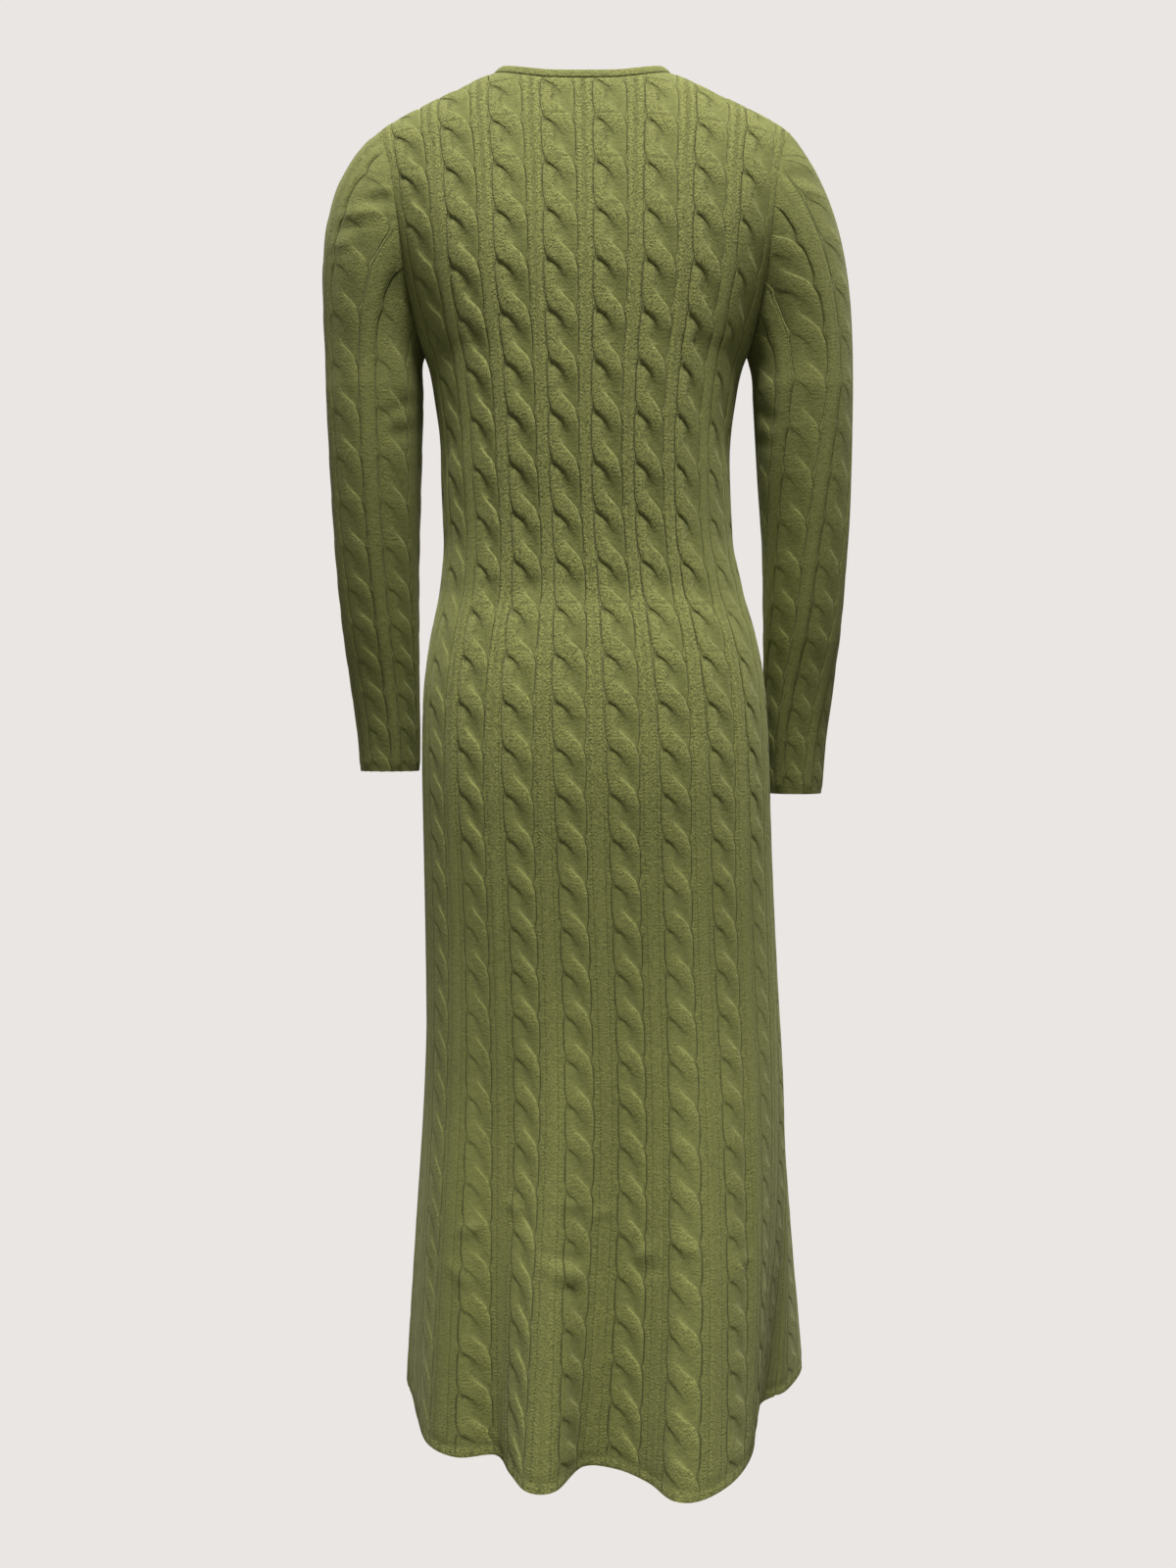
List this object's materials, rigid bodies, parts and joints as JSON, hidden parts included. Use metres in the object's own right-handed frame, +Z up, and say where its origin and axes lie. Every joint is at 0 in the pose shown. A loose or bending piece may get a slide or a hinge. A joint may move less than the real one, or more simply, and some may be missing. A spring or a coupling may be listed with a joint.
{
  "type": "sweater dress",
  "caption": "Ankle-length fitted sweater dress in rope-cable knit with long set-in sleeves, a narrow round neckband and a flared skirt that hangs in soft folds, in its worn hollow shape.",
  "frame": {"origin": "midway between the two side-neck points, on the line where the wearer's shoulders carry the dress", "axes": "+Z up along the dress, the front faces -Y, the back faces +Y, and the wearer's left sleeve is on +X"},
  "size_m": [0.4904, 0.3562, 1.2093],
  "materials": {
    "body_knit": "soft brushed cable knit with a short nap",
    "sleeve_knit": "soft brushed cable knit with a short nap",
    "band_knit": "soft close knit edge"
  },
  "bodies": {
    "root": {"back_panel": "body_knit", "front_panel": "body_knit", "sleeve_left": "sleeve_knit", "sleeve_right": "sleeve_knit", "neckband": "band_knit"}
  },
  "joints": []
}
